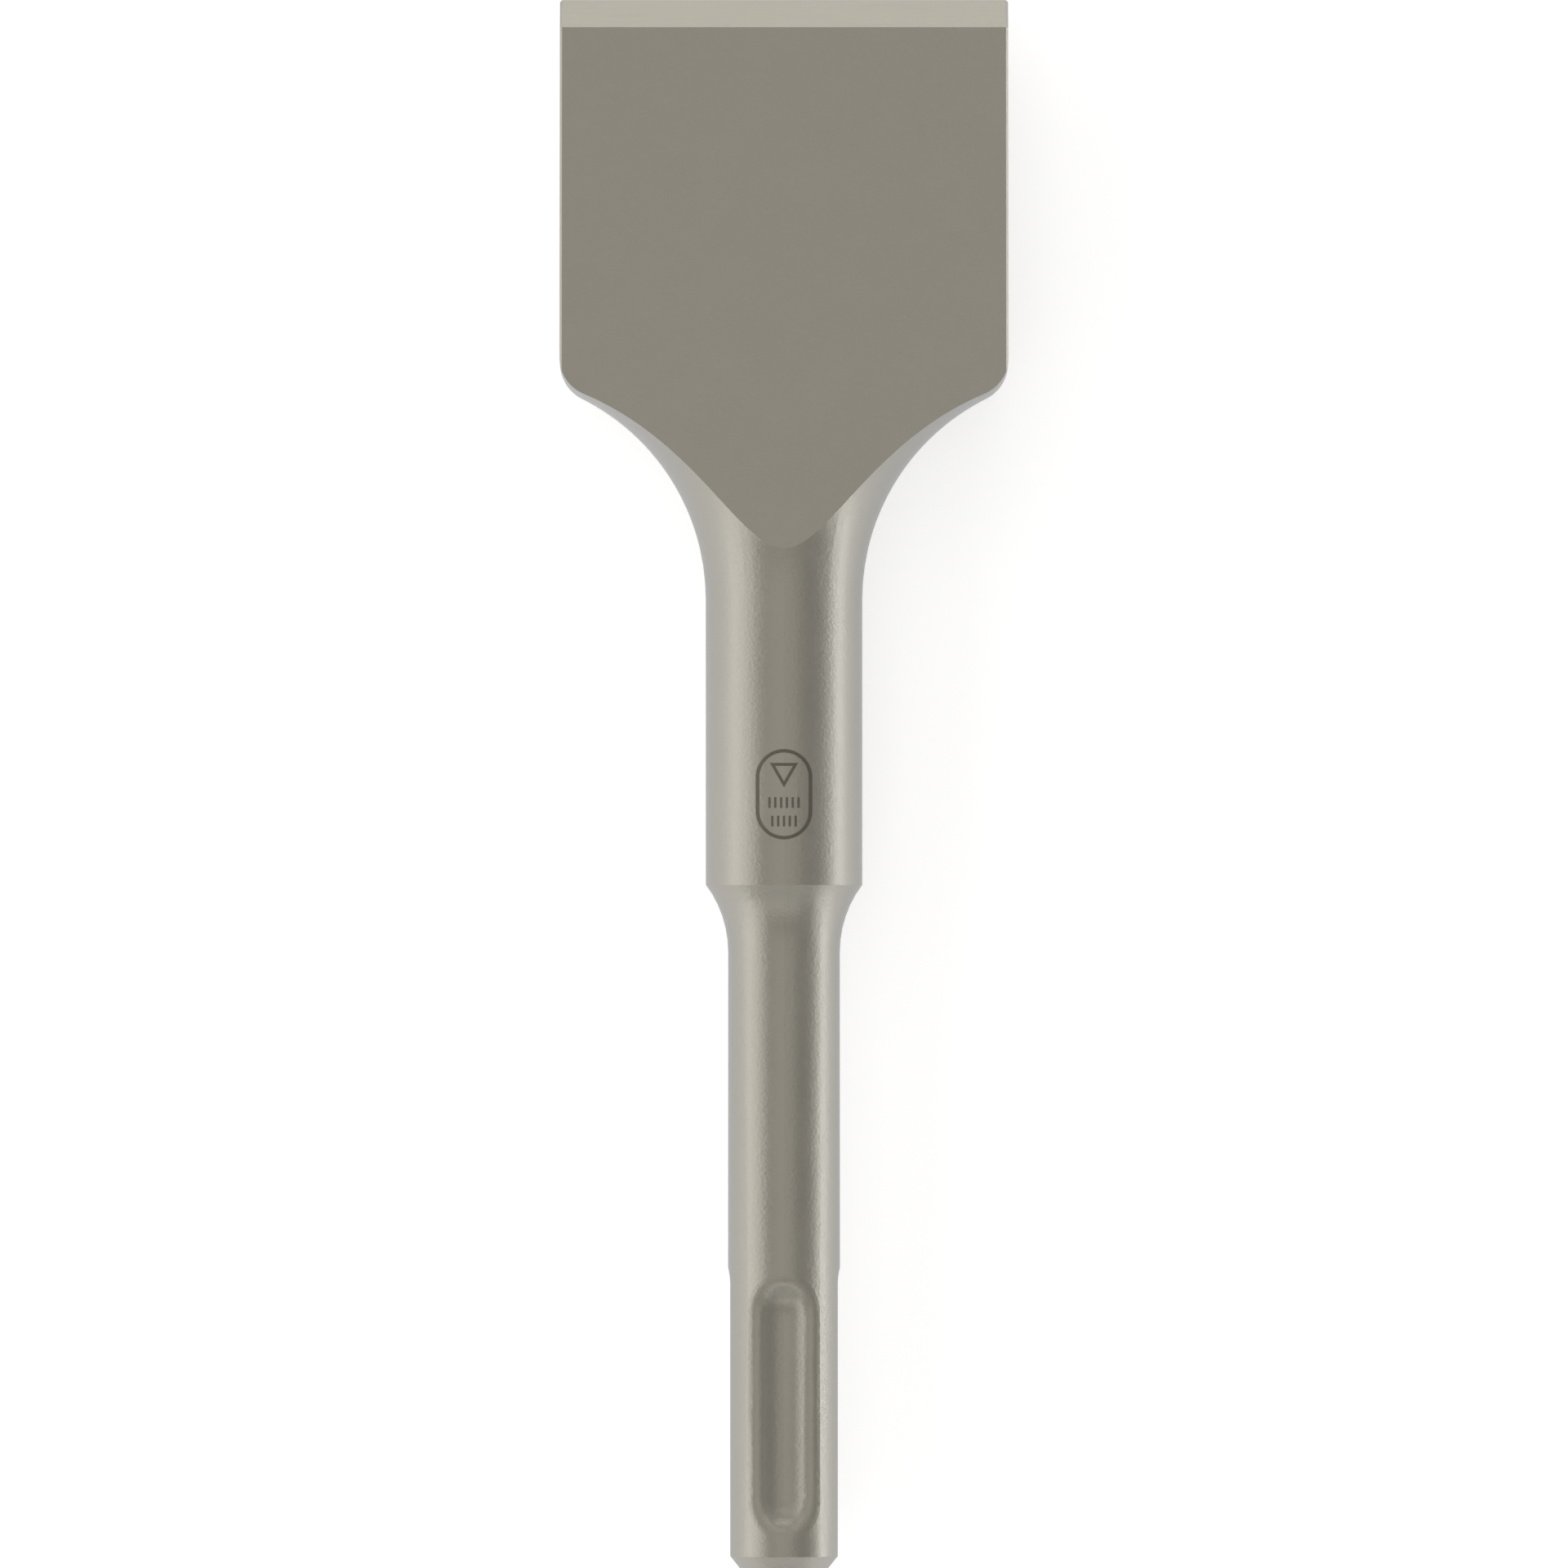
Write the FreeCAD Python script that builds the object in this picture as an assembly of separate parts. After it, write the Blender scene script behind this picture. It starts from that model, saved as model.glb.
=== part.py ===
import FreeCAD, Part

import math
import os

from FreeCAD import Vector

# Flat chisel bit for a rotary hammer: one steel forging with a slotted round shank.
# Millimetres. The tool lies along +Y. The origin is the centre of the struck end of the shank,
# the cutting edge is at the far end, X runs across the blade and Z through its thickness.

# Overall sizes
OVERALL_LENGTH = 140.0
BLADE_WIDTH = 40.0
SHANK_DIAMETER = 10.0
SHAFT_DIAMETER = 14.0

# Turned form: chamfered end, shank, hollow shoulder, shaft, flare
END_CHAMFER_WIDTH = 0.9
END_CHAMFER_LENGTH = 1.1
SHANK_LENGTH = 55.0
SHOULDER_RADIUS = 10.0
FLARE_RADIUS = 20.0
BLADE_LENGTH = 53.5

# Blade: two flat faces that taper towards a ground cutting edge
FACE_TAPER_DEG = 6.27
BEVEL_ROOT_THICKNESS = 4.8
BEVEL_LENGTH = 2.5
EDGE_LAND = 0.8
EDGE_BREAK = 0.2
BLADE_SHOULDER_RADIUS = 3.5

# Two closed grooves for the chuck's locking balls, one above and one below
GROOVE_RADIUS = 3.5
GROOVE_DEPTH = 1.5
GROOVE_FIRST_CENTRE = 6.5
GROOVE_LAST_CENTRE = 22.5
GROOVE_SIDE_LIP_RADIUS = 1.3
GROOVE_END_LIP_RADIUS = 2.0

# Two drive slots, open at the struck end, one on each side
SLOT_MOUTH_WIDTH = 2.8
SLOT_FLOOR_WIDTH = 2.0
SLOT_DEPTH = 1.75
SLOT_END_CENTRE = 25.4
SLOT_FLOOR_FILLET = 0.4

# Places that follow from the sizes above
SHANK_RADIUS = SHANK_DIAMETER / 2
SHAFT_RADIUS = SHAFT_DIAMETER / 2
BLADE_SIDE = BLADE_WIDTH / 2
FLARE_START = OVERALL_LENGTH - BLADE_LENGTH
BEVEL_START = OVERALL_LENGTH - BEVEL_LENGTH
FACE_SLOPE = math.tan(math.radians(FACE_TAPER_DEG))
GROOVE_END = GROOVE_LAST_CENTRE + GROOVE_RADIUS

# Cutters run past the surface that they cut by OVERRUN; places count as equal within NEAR
OVERRUN = 1.0
NEAR = 0.01
CENTRE = Vector(0, 0, 0)
LENGTHWISE = Vector(0, 1, 0)


def lines(points):
    """Straight edges through the points, in order."""
    return [Part.makeLine(start, end) for start, end in zip(points, points[1:])]


def arc(start, centre, end):
    """Circular edge of less than half a turn, from start to end about centre."""
    halfway = (start + end) * 0.5 - centre
    halfway.normalize()
    return Part.Arc(start, centre + halfway * start.distanceToPoint(centre), end).toShape()


def point_on(edge, share):
    """The point that lies the given share of the way along an edge."""
    return edge.valueAt(edge.FirstParameter + share * (edge.LastParameter - edge.FirstParameter))


def rounded(solid, radius, wanted):
    """The solid with a fillet on each edge for which wanted(edge) is true."""
    return solid.makeFillet(radius, [edge for edge in solid.Edges if wanted(edge)]).Solids[0]


def turned_blank():
    """Shank, hollow shoulder, shaft and flare, turned about the tool's axis.

    It is two half turns that meet at X = 0, so that no surface closes on itself.
    """
    shoulder_centre = Vector(SHANK_RADIUS + SHOULDER_RADIUS, SHANK_LENGTH)
    shoulder_rise = math.sqrt(SHOULDER_RADIUS**2 - (shoulder_centre.x - SHAFT_RADIUS) ** 2)
    flare_centre = Vector(SHAFT_RADIUS + FLARE_RADIUS, FLARE_START)

    end_rim = Vector(SHANK_RADIUS - END_CHAMFER_WIDTH, 0)
    chamfer_top = Vector(SHANK_RADIUS, END_CHAMFER_LENGTH)
    shank_top = Vector(SHANK_RADIUS, SHANK_LENGTH)
    shoulder_corner = Vector(SHAFT_RADIUS, SHANK_LENGTH + shoulder_rise)
    flare_foot = Vector(SHAFT_RADIUS, FLARE_START)
    flare_top = Vector(flare_centre.x, FLARE_START + FLARE_RADIUS)
    blank_corner = Vector(flare_top.x, OVERALL_LENGTH + OVERRUN)
    blank_centre = Vector(0, blank_corner.y)

    outline = lines([CENTRE, end_rim, chamfer_top, shank_top])
    outline.append(arc(shank_top, shoulder_centre, shoulder_corner))
    outline.append(Part.makeLine(shoulder_corner, flare_foot))
    outline.append(arc(flare_foot, flare_centre, flare_top))
    outline += lines([flare_top, blank_corner, blank_centre, CENTRE])
    profile = Part.Face(Part.Wire(outline)).rotated(CENTRE, LENGTHWISE, 90)
    halves = [profile.rotated(CENTRE, LENGTHWISE, turn).revolve(CENTRE, LENGTHWISE, 180) for turn in (0, 180)]
    return halves[0].fuse(halves[1])


def face_height(y):
    """Height of the blade's upper flat face above the tool's axis."""
    return BEVEL_ROOT_THICKNESS / 2 + FACE_SLOPE * (BEVEL_START - y)


def borders_side(edge):
    """The edge lies in the plane of one of the blade's sides."""
    return abs(abs(edge.BoundBox.Center.x) - BLADE_SIDE) < NEAR


def blade_wedge():
    """The space between the flat faces, the ground bevels and the blade's two sides.

    All that borders a side has its edge broken by a small chamfer.
    """
    upper = [
        (-OVERRUN, face_height(-OVERRUN)),
        (BEVEL_START, face_height(BEVEL_START)),
        (OVERALL_LENGTH, EDGE_LAND / 2),
    ]
    lower = [(y, -z) for y, z in reversed(upper)]
    corners = [Vector(-BLADE_SIDE, y, z) for y, z in upper + lower]
    section = Part.Face(Part.makePolygon(corners + corners[:1]))
    wedge = section.extrude(Vector(BLADE_WIDTH, 0, 0))
    return wedge.makeChamfer(EDGE_BREAK, [edge for edge in wedge.Edges if borders_side(edge)])


def is_blade_shoulder(edge):
    """The flare meets a side of the blade there."""
    return borders_side(edge) and edge.BoundBox.YMax < FLARE_START + FLARE_RADIUS


def forging():
    """The blank flattened into a blade, with its two shoulders rounded."""
    flattened = turned_blank().common(blade_wedge()).Solids[0]
    return rounded(flattened, BLADE_SHOULDER_RADIUS, is_blade_shoulder)


def drive_slot():
    """What the slot on the +X side takes away: a trough with drafted walls and a round end."""
    floor_x = SHANK_RADIUS - SLOT_DEPTH
    floor_half = SLOT_FLOOR_WIDTH / 2
    mouth_half = SLOT_MOUTH_WIDTH / 2
    mouth_x = math.sqrt(SHANK_RADIUS**2 - mouth_half**2)
    draft = (mouth_half - floor_half) / (mouth_x - floor_x)
    height = SLOT_DEPTH + OVERRUN
    top_half = floor_half + draft * height

    corners = [
        Vector(floor_x, -OVERRUN, -floor_half),
        Vector(floor_x + height, -OVERRUN, -top_half),
        Vector(floor_x + height, -OVERRUN, top_half),
        Vector(floor_x, -OVERRUN, floor_half),
    ]
    section = Part.Face(Part.makePolygon(corners + corners[:1]))
    trough = section.extrude(LENGTHWISE * (SLOT_END_CENTRE + OVERRUN))
    end_centre = Vector(floor_x, SLOT_END_CENTRE, 0)
    round_end = Part.makeCone(floor_half, top_half, height, end_centre, Vector(1, 0, 0))

    def is_floor_border(edge):
        box = edge.BoundBox
        return box.XMax < floor_x + NEAR and box.YLength > NEAR

    return rounded(trough.fuse(round_end).removeSplitter(), SLOT_FLOOR_FILLET, is_floor_border)


def locking_groove():
    """What the groove on the +Z side takes away: the track of a ball along the shank."""
    depth = Vector(0, 0, GROOVE_RADIUS)
    reach = LENGTHWISE * GROOVE_RADIUS
    floor = Vector(0, 0, SHANK_RADIUS - GROOVE_DEPTH)
    first = floor + depth + LENGTHWISE * GROOVE_FIRST_CENTRE
    last = floor + depth + LENGTHWISE * GROOVE_LAST_CENTRE
    outline = [
        arc(first - reach, first, first - depth),
        Part.makeLine(first - depth, last - depth),
        arc(last - depth, last, last + reach),
        Part.makeLine(last + reach, first - reach),
    ]
    return Part.Face(Part.Wire(outline)).revolve(first, LENGTHWISE, 360)


def groove_mouth(solid, side):
    """Numbered edges round the mouth of the groove on the +Z (1) or -Z (-1) side."""
    mouth = []
    for number, edge in enumerate(solid.Edges, start=1):
        middle = point_on(edge, 0.5)
        on_shank = abs(math.hypot(middle.x, middle.z) - SHANK_RADIUS) < NEAR
        on_side = middle.z * side > abs(middle.x)
        if on_shank and on_side and END_CHAMFER_LENGTH + NEAR < middle.y < GROOVE_END:
            mouth.append((number, edge))
    return mouth


def lip_radii(mouth):
    """Fillet radii at both ends of each edge of a groove's mouth, followed round the mouth.

    The lip is small along the groove's sides and swells to its end radius at each tip.
    """
    left = sorted(mouth, key=lambda numbered: -numbered[1].Length)
    reached = point_on(left[0][1], 0)
    radii = []
    while left:
        for number, edge in left:
            ends = [point_on(edge, 0), point_on(edge, 1)]
            if ends[0].distanceToPoint(reached) > NEAR:
                ends.reverse()
            if ends[0].distanceToPoint(reached) < NEAR:
                break
        left.remove((number, edge))
        reached = ends[1]
        tips = [abs(end.x) < NEAR for end in ends]
        radii.append((number, *[GROOVE_END_LIP_RADIUS if tip else GROOVE_SIDE_LIP_RADIUS for tip in tips]))
    return radii


def with_rolled_lips(solid):
    """The solid with the mouths of both locking grooves rounded over."""
    document = FreeCAD.newDocument("chisel")
    sharp = document.addObject("Part::Feature", "Sharp")
    sharp.Shape = solid
    lips = document.addObject("Part::Fillet", "Lips")
    lips.Base = sharp
    lips.Edges = lip_radii(groove_mouth(solid, 1)) + lip_radii(groove_mouth(solid, -1))
    document.recompute()
    return lips.Shape.Solids[0]


def flat_chisel():
    """The finished tool: the forging with its two slots and two grooves cut in the shank."""
    cutters = [drive_slot(), locking_groove()]
    cutters += [cutter.rotated(CENTRE, LENGTHWISE, 180) for cutter in cutters]
    return with_rolled_lips(forging().cut(cutters).Solids[0])


os.makedirs("parts", exist_ok=True)
flat_chisel().exportStep("parts/flat_chisel.step")
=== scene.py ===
import math

import bpy
from mathutils import Matrix, Vector


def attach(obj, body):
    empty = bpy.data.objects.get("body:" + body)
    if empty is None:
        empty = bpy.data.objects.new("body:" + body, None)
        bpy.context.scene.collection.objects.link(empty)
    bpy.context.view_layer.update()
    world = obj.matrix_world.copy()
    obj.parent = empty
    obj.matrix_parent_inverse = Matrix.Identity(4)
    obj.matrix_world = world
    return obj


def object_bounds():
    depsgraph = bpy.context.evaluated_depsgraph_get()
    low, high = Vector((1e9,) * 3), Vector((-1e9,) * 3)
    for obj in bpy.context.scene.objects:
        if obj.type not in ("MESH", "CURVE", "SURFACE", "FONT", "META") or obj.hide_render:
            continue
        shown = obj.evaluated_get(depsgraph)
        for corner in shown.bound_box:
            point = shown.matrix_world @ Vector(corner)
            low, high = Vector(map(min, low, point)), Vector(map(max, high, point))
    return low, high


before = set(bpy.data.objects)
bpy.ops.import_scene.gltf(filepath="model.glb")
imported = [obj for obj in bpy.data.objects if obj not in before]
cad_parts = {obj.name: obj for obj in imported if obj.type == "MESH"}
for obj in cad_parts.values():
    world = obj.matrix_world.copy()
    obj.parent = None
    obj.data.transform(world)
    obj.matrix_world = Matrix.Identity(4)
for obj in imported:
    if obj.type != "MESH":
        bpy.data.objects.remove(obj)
cad_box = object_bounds()

# The forging: one bar of tool steel, turned at the shank and shaft and forged flat into the blade.
# It is shot blasted to an even satin, with small dents and a faint mottle, and the lathe's lines
# just show. The bevel is ground afterwards, which leaves it brighter, with fine lines along the edge.
BEVEL_LENGTH = 0.0025
EDGE_BREAK = 0.0002
STEEL_COLOUR = (0.365, 0.352, 0.317, 1)
STEEL_PALER = (0.405, 0.391, 0.352, 1)
STEEL_EDGE_TINT = (0.88, 0.9, 0.96, 1)
STEEL_ROUGHNESS = 0.385
ROUGHNESS_SPREAD = 0.06
GROUND_COLOUR = (0.385, 0.3715, 0.335, 1)
GROUND_PALER = (0.42, 0.4055, 0.367, 1)
GROUND_ROUGHNESS = 0.33
MOTTLE_PER_METRE = 230.0
MOTTLE_SHARE = 0.6
SPECKLE_PER_METRE = 1500.0
SPECKLE_HEIGHT = 0.000006
DENTS_PER_METRE = 3400.0
DENT_DEPTH = 0.000012
TURNING_LINES_PER_METRE = 5200.0
TURNING_LINE_HEIGHT = 0.000003
TURNING_LINES_FADE = 0.082
TURNING_LINES_END = 0.09
WHEEL_LINES_PER_METRE = 9000.0
WHEEL_LINE_STRETCH = 0.02
WHEEL_LINE_HEIGHT = 0.000005


class Sock:
    """One output of a shader node. Arithmetic on it adds Math nodes to its material."""

    def __init__(self, tree, output=None):
        self.tree = tree
        self.output = output

    def node(self, kind, wanted, settings, inputs):
        """A new node's wanted output. The settings are set before the inputs are filled."""
        made = self.tree.nodes.new(kind)
        for name, value in settings.items():
            setattr(made, name, value)
        for name, value in inputs.items():
            if isinstance(value, Sock):
                self.tree.links.new(value.output, made.inputs[name])
            else:
                made.inputs[name].default_value = value
        return Sock(self.tree, made.outputs[wanted])

    def feed(self, shader, name):
        """Links this output to the shader's input of that name."""
        self.tree.links.new(self.output, shader.inputs[name])

    def maths(self, operation, *others, first=None):
        """A Math node on this output and the others, or on first and the others."""
        values = [self if first is None else first, *others]
        return self.node("ShaderNodeMath", 0, {"operation": operation}, dict(enumerate(values)))

    def __add__(self, other):
        return self.maths("ADD", other)

    def __radd__(self, other):
        return self.maths("ADD", self, first=other)

    def __sub__(self, other):
        return self.maths("SUBTRACT", other)

    def __rsub__(self, other):
        return self.maths("SUBTRACT", self, first=other)

    def __mul__(self, other):
        return self.maths("MULTIPLY", other)

    def __rmul__(self, other):
        return self.maths("MULTIPLY", self, first=other)

    def __gt__(self, other):
        return self.maths("GREATER_THAN", other)

    def __lt__(self, other):
        return self.maths("LESS_THAN", other)

    def __abs__(self):
        return self.maths("ABSOLUTE")


def new_material(name):
    """A material of that name, its shader, and a socket without an output to add nodes from."""
    made = bpy.data.materials.new(name)
    made.use_nodes = True
    return made, made.node_tree.nodes["Principled BSDF"], Sock(made.node_tree)


def mixed_colour(share, first, second):
    """From the first colour at a share of 0 to the second at 1.

    The Mix node's sockets go by number, because it has several of each name.
    """
    return share.node("ShaderNodeMix", 2, {"data_type": "RGBA"}, {0: share, 6: first, 7: second})


def noise(place, per_metre, detail):
    """Cloudy noise from 0 to 1, with that many clouds a metre and detail finer layers in them."""
    return place.node("ShaderNodeTexNoise", 0, {}, {"Vector": place, "Scale": per_metre, "Detail": detail})


def add_relief(height, shader):
    """Bump on the shader, from a height in metres."""
    height.node("ShaderNodeBump", 0, {}, {"Height": height, "Distance": 1.0}).feed(shader, "Normal")


steel, steel_shader, start = new_material("blasted_tool_steel")
place = start.node("ShaderNodeTexCoord", "Object", {}, {})
across, along, up = (place.node("ShaderNodeSeparateXYZ", axis, {}, {0: place}) for axis in "XYZ")

tool_low, tool_high = cad_box
ground = (along > tool_high.y - BEVEL_LENGTH) * (abs(across) < tool_high.x - EDGE_BREAK)
turned = along.node(
    "ShaderNodeMapRange",
    0,
    {"interpolation_type": "SMOOTHSTEP"},
    {"Value": along, "From Min": TURNING_LINES_END, "From Max": TURNING_LINES_FADE},
)
mottle = noise(place, MOTTLE_PER_METRE, detail=3.0)
speckle = noise(place, SPECKLE_PER_METRE, detail=2.0)
dents = place.node("ShaderNodeTexVoronoi", "Distance", {}, {"Vector": place, "Scale": DENTS_PER_METRE})
lathe_path = along + (across * across + up * up).maths("SQRT")
turning_lines = along.node(
    "ShaderNodeTexNoise", 0, {"noise_dimensions": "1D"}, {"W": lathe_path, "Scale": TURNING_LINES_PER_METRE}
)
wheel_path = place.node("ShaderNodeMapping", 0, {}, {"Vector": place, "Scale": (WHEEL_LINE_STRETCH, 1, 1)})
wheel_lines = noise(wheel_path, WHEEL_LINES_PER_METRE, detail=1.0)

blasted = mixed_colour(mottle * MOTTLE_SHARE + speckle * (1 - MOTTLE_SHARE), STEEL_COLOUR, STEEL_PALER)
wheel_ground = mixed_colour(wheel_lines, GROUND_COLOUR, GROUND_PALER)
mixed_colour(ground, blasted, wheel_ground).feed(steel_shader, "Base Color")
satin = (speckle + mottle - 1) * ROUGHNESS_SPREAD + STEEL_ROUGHNESS
(satin + ground * (GROUND_ROUGHNESS - satin)).feed(steel_shader, "Roughness")
blasted_height = dents * dents * DENT_DEPTH + speckle * SPECKLE_HEIGHT
turned_height = turning_lines * turned * TURNING_LINE_HEIGHT
wheel_height = wheel_lines * ground * WHEEL_LINE_HEIGHT
add_relief((blasted_height + turned_height) * (1 - ground) + wheel_height, steel_shader)
steel_shader.inputs["Metallic"].default_value = 1.0
steel_shader.inputs["Specular Tint"].default_value = STEEL_EDGE_TINT

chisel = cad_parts["flat_chisel"]
chisel.data.materials.clear()
chisel.data.materials.append(steel)

# The mark on the upper side of the shaft, burnt in by a laser: a skin of dark oxide, thinner than
# paper, that lies on the round steel. It has an oblong border, an arrow towards the end that goes
# into the chuck, and two rows of plain ticks.
MARK_CENTRE = 0.06909
MARK_HALF_WIDTH = 0.00252
MARK_STRAIGHT_HALF = 0.0015
BORDER_LINE = 0.0003
BORDER_CORNERS = 64
ARROW_CENTRE = 0.07115
ARROW_RADIUS = 0.00145
ARROW_LINE = 0.00026
ARROW_CORNERS = 3
ARROW_CUTS = 5
TICK_WIDTH = 0.0002
TICK_LENGTH = 0.00095
TICK_SPACING = 0.00052
TICK_ROWS = ((0.06835, 6), (0.0667, 5))
ABOVE_SHAFT = 0.009
OXIDE_LIFT = 0.00001
OXIDE_THICKNESS = 0.00002
OXIDE_COLOUR = (0.135, 0.126, 0.108, 1)
OXIDE_PALER = (0.2, 0.188, 0.162, 1)
OXIDE_ROUGHNESS = 0.5
OXIDE_ROUGHNESS_SPREAD = 0.2
BURN_PER_METRE = 5000.0
BURN_HEIGHT = 0.000006


def flat_outline(corners, radius, centre_along, turn):
    """A filled polygon, level above the shaft at that place along it."""
    bpy.ops.mesh.primitive_circle_add(
        vertices=corners,
        radius=radius,
        fill_type="NGON",
        location=(0, centre_along, ABOVE_SHAFT),
        rotation=(0, 0, turn),
    )
    bpy.ops.object.transform_apply(location=True, rotation=True, scale=True)
    return bpy.context.object


def select_corners(piece, wanted):
    """Edit mode, with only the wanted vertices selected."""
    bpy.ops.object.mode_set(mode="EDIT")
    bpy.ops.mesh.select_mode(type="VERT")
    bpy.ops.mesh.select_all(action="DESELECT")
    bpy.ops.object.mode_set(mode="OBJECT")
    for vertex in piece.data.vertices:
        vertex.select = wanted(vertex.co)
    bpy.ops.object.mode_set(mode="EDIT")


def hollow_out(line):
    """Leaves a line of that width along the border of the face that is in edit mode."""
    bpy.ops.mesh.select_all(action="SELECT")
    bpy.ops.mesh.inset(thickness=line, depth=0)
    bpy.ops.mesh.delete(type="FACE")


bpy.ops.object.select_all(action="DESELECT")
mark = flat_outline(BORDER_CORNERS, MARK_HALF_WIDTH, MARK_CENTRE, math.pi / BORDER_CORNERS)
mark.name = "laser_mark"
for end in (1, -1):
    select_corners(mark, lambda corner: end * (corner.y - MARK_CENTRE) > 0)
    bpy.ops.transform.translate(value=(0, end * MARK_STRAIGHT_HALF, 0))
hollow_out(BORDER_LINE)
bpy.ops.object.mode_set(mode="OBJECT")

arrow = flat_outline(ARROW_CORNERS, ARROW_RADIUS, ARROW_CENTRE, math.pi)
bpy.ops.object.mode_set(mode="EDIT")
hollow_out(ARROW_LINE)
bpy.ops.mesh.select_all(action="SELECT")
bpy.ops.mesh.subdivide(number_cuts=ARROW_CUTS)
bpy.ops.object.mode_set(mode="OBJECT")

flat_pieces = [mark, arrow]
for row_centre, count in TICK_ROWS:
    first = -TICK_SPACING * (count - 1) / 2
    bpy.ops.mesh.primitive_plane_add(size=1, location=(first, row_centre, ABOVE_SHAFT))
    ticks = bpy.context.object
    ticks.scale = (TICK_WIDTH, TICK_LENGTH, 1)
    bpy.ops.object.transform_apply(location=True, rotation=True, scale=True)
    row = ticks.modifiers.new("row", "ARRAY")
    row.count = count
    row.use_relative_offset = False
    row.use_constant_offset = True
    row.constant_offset_displace = (TICK_SPACING, 0, 0)
    bpy.ops.object.modifier_apply(modifier="row")
    flat_pieces.append(ticks)

bpy.ops.object.select_all(action="DESELECT")
for flat_piece in flat_pieces:
    flat_piece.select_set(True)
bpy.context.view_layer.objects.active = mark
bpy.ops.object.join()

wrap = mark.modifiers.new("wrap", "SHRINKWRAP")
wrap.wrap_method = "PROJECT"
wrap.target = chisel
wrap.use_project_z = True
wrap.use_negative_direction = True
wrap.use_positive_direction = False
wrap.offset = OXIDE_LIFT
skin = mark.modifiers.new("skin", "SOLIDIFY")
skin.thickness = OXIDE_THICKNESS
skin.offset = 1
bpy.ops.object.modifier_apply(modifier="wrap")
bpy.ops.object.modifier_apply(modifier="skin")
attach(mark, "root")

oxide, oxide_shader, start = new_material("laser_oxide")
mark.data.materials.append(oxide)
place = start.node("ShaderNodeTexCoord", "Object", {}, {})
burn = noise(place, BURN_PER_METRE, detail=2.0)
mixed_colour(burn, OXIDE_COLOUR, OXIDE_PALER).feed(oxide_shader, "Base Color")
smoothest = OXIDE_ROUGHNESS - OXIDE_ROUGHNESS_SPREAD / 2
(burn * OXIDE_ROUGHNESS_SPREAD + smoothest).feed(oxide_shader, "Roughness")
add_relief(burn * BURN_HEIGHT, oxide_shader)
oxide_shader.inputs["Metallic"].default_value = 1.0

# The studio: white paper under the tool, in a dim warm room that is white along its horizon, with soft
# lamps all round. Low strips on the left and right draw the bright bands on the round shank and shaft,
# one beyond the cutting edge lights the ground bevel, and the others fill the upper faces.
WHITE = (1, 1, 1, 1)
PAPER_GAP = 0.0002
PAPER_SIZE = 6.0
PAPER_COLOUR = (0.87, 0.885, 0.93, 1)
PAPER_ROUGHNESS = 0.9
PAPER_GLOW = 0.52
ROOM_LEVEL = 0.4
ROOM_COLOUR = (1, 0.969, 0.897, 1)
HORIZON_TOP = 0.04
LAMP_DISTANCE = 1.0
LEFT = Vector((-1, 0, 0))
RIGHT = Vector((1, 0, 0))
FAR = Vector((0, 1, 0))
NEAR = Vector((0, -1, 0))
UP = Vector((0, 0, 1))

bpy.ops.object.select_all(action="DESELECT")
tool_centre = (tool_low + tool_high) / 2
paper_place = (tool_centre.x, tool_centre.y, tool_low.z - PAPER_GAP)
bpy.ops.mesh.primitive_plane_add(size=PAPER_SIZE, location=paper_place)
floor = bpy.context.object
floor.name = "studio_floor"

paper, paper_shader, start = new_material("white_paper")
floor.data.materials.append(paper)
paper_shader.inputs["Base Color"].default_value = PAPER_COLOUR
paper_shader.inputs["Roughness"].default_value = PAPER_ROUGHNESS
paper_shader.inputs["Specular IOR Level"].default_value = 0.0
paper_shader.inputs["Emission Color"].default_value = WHITE
seen = start.node("ShaderNodeLightPath", "Is Camera Ray", {}, {})
for kind in ("Is Glossy Ray", "Is Transmission Ray"):
    seen = seen + start.node("ShaderNodeLightPath", kind, {}, {})
(seen * PAPER_GLOW).feed(paper_shader, "Emission Strength")

room = bpy.data.worlds.new("studio")
room.use_nodes = True
bpy.context.scene.world = room
backdrop = room.node_tree.nodes["Background"]
direction = Sock(room.node_tree).node("ShaderNodeTexCoord", "Generated", {}, {})
rise = direction.node("ShaderNodeSeparateXYZ", "Z", {}, {0: direction})
horizon = rise < HORIZON_TOP
mixed_colour(horizon, ROOM_COLOUR, WHITE).feed(backdrop, "Color")
(horizon * (1 - ROOM_LEVEL) + ROOM_LEVEL).feed(backdrop, "Strength")


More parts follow.
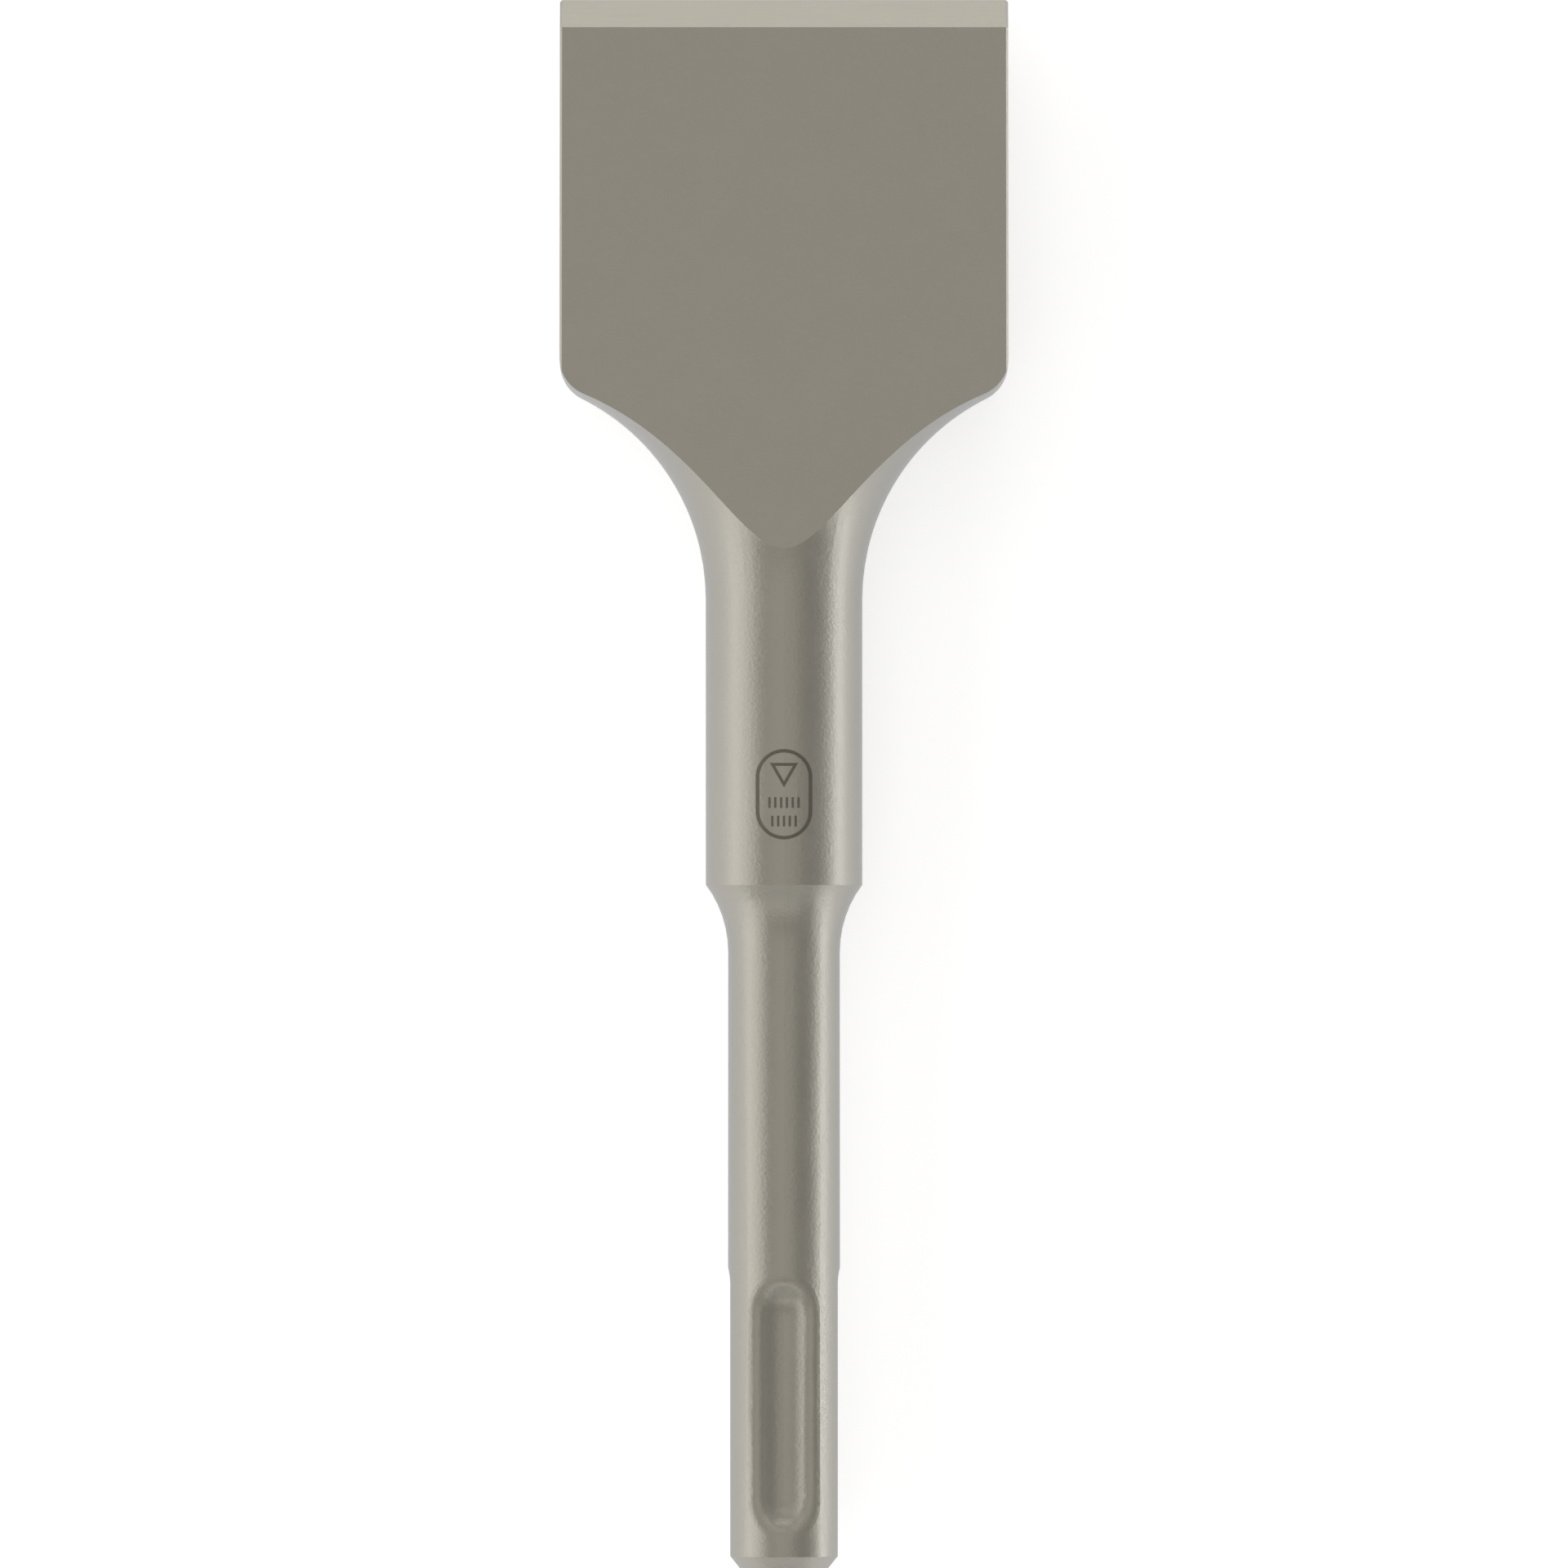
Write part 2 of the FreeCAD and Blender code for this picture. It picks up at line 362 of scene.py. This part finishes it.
def soft_lamp(name, side, elevation, size, brightness, colour):
    """A rectangular lamp that faces the tool from that side, with its length level.

    It stands elevation degrees above the tool, and size is its length and width.
    """
    angle = math.radians(elevation)
    out = side * math.cos(angle) + UP * math.sin(angle)
    level = UP.cross(out).normalized()
    length, width = size
    light = bpy.data.lights.new(name, "AREA")
    light.shape = "RECTANGLE"
    light.size = length
    light.size_y = width
    light.energy = math.pi * length * width * brightness
    light.color = colour
    lamp = bpy.data.objects.new(name, light)
    bpy.context.scene.collection.objects.link(lamp)
    turn = Matrix((level, out.cross(level), out)).transposed().to_4x4()
    lamp.matrix_world = Matrix.Translation(tool_centre + out * LAMP_DISTANCE) @ turn
    lamp.visible_camera = False


soft_lamp("overhead_lamp", LEFT, elevation=89.0, size=(0.8, 0.8), brightness=0.35, colour=ROOM_COLOUR[:3])
soft_lamp("left_low_lamp", LEFT, elevation=12.0, size=(2.4, 0.28), brightness=1.45, colour=(1, 0.99, 0.978))
soft_lamp("left_lamp", LEFT, elevation=28.0, size=(2.4, 0.24), brightness=0.97, colour=(1, 0.985, 0.968))
soft_lamp("left_high_lamp", LEFT, elevation=42.0, size=(2.4, 0.24), brightness=0.8, colour=(1, 0.974, 0.92))
soft_lamp("right_low_lamp", RIGHT, elevation=2.2, size=(2.4, 0.08), brightness=5.0, colour=(0.95, 0.975, 1))
soft_lamp("right_lamp", RIGHT, elevation=14.0, size=(2.4, 0.24), brightness=0.72, colour=(0.98, 0.995, 1))
soft_lamp("far_low_lamp", FAR, elevation=12.0, size=(0.8, 0.24), brightness=1.3, colour=(1, 0.984, 0.94))
soft_lamp("far_high_lamp", FAR, elevation=50.0, size=(0.8, 0.24), brightness=0.8, colour=(1, 0.974, 0.91))
soft_lamp("near_low_lamp", NEAR, elevation=12.0, size=(0.8, 0.24), brightness=0.55, colour=(0.98, 0.995, 1))
soft_lamp("near_high_lamp", NEAR, elevation=40.0, size=(0.8, 0.3), brightness=0.68, colour=(1, 0.994, 0.968))

# The camera looks straight down on the tool's upper side, and the tool fills its frame from end to
# end. It stands far off behind a long lens, so the blade's and the shank's sides hardly show.
LENS_MM = 600.0
SENSOR_MM = 36.0
tool_length = tool_high.y - tool_low.y
camera_data = bpy.data.cameras.new("camera")
camera_data.lens = LENS_MM
camera_data.sensor_width = SENSOR_MM
camera = bpy.data.objects.new("camera", camera_data)
camera.location = (0, tool_centre.y, tool_length * LENS_MM / SENSOR_MM)
bpy.context.scene.collection.objects.link(camera)
bpy.context.scene.camera = camera

bpy.context.scene.view_settings.view_transform = "Standard"
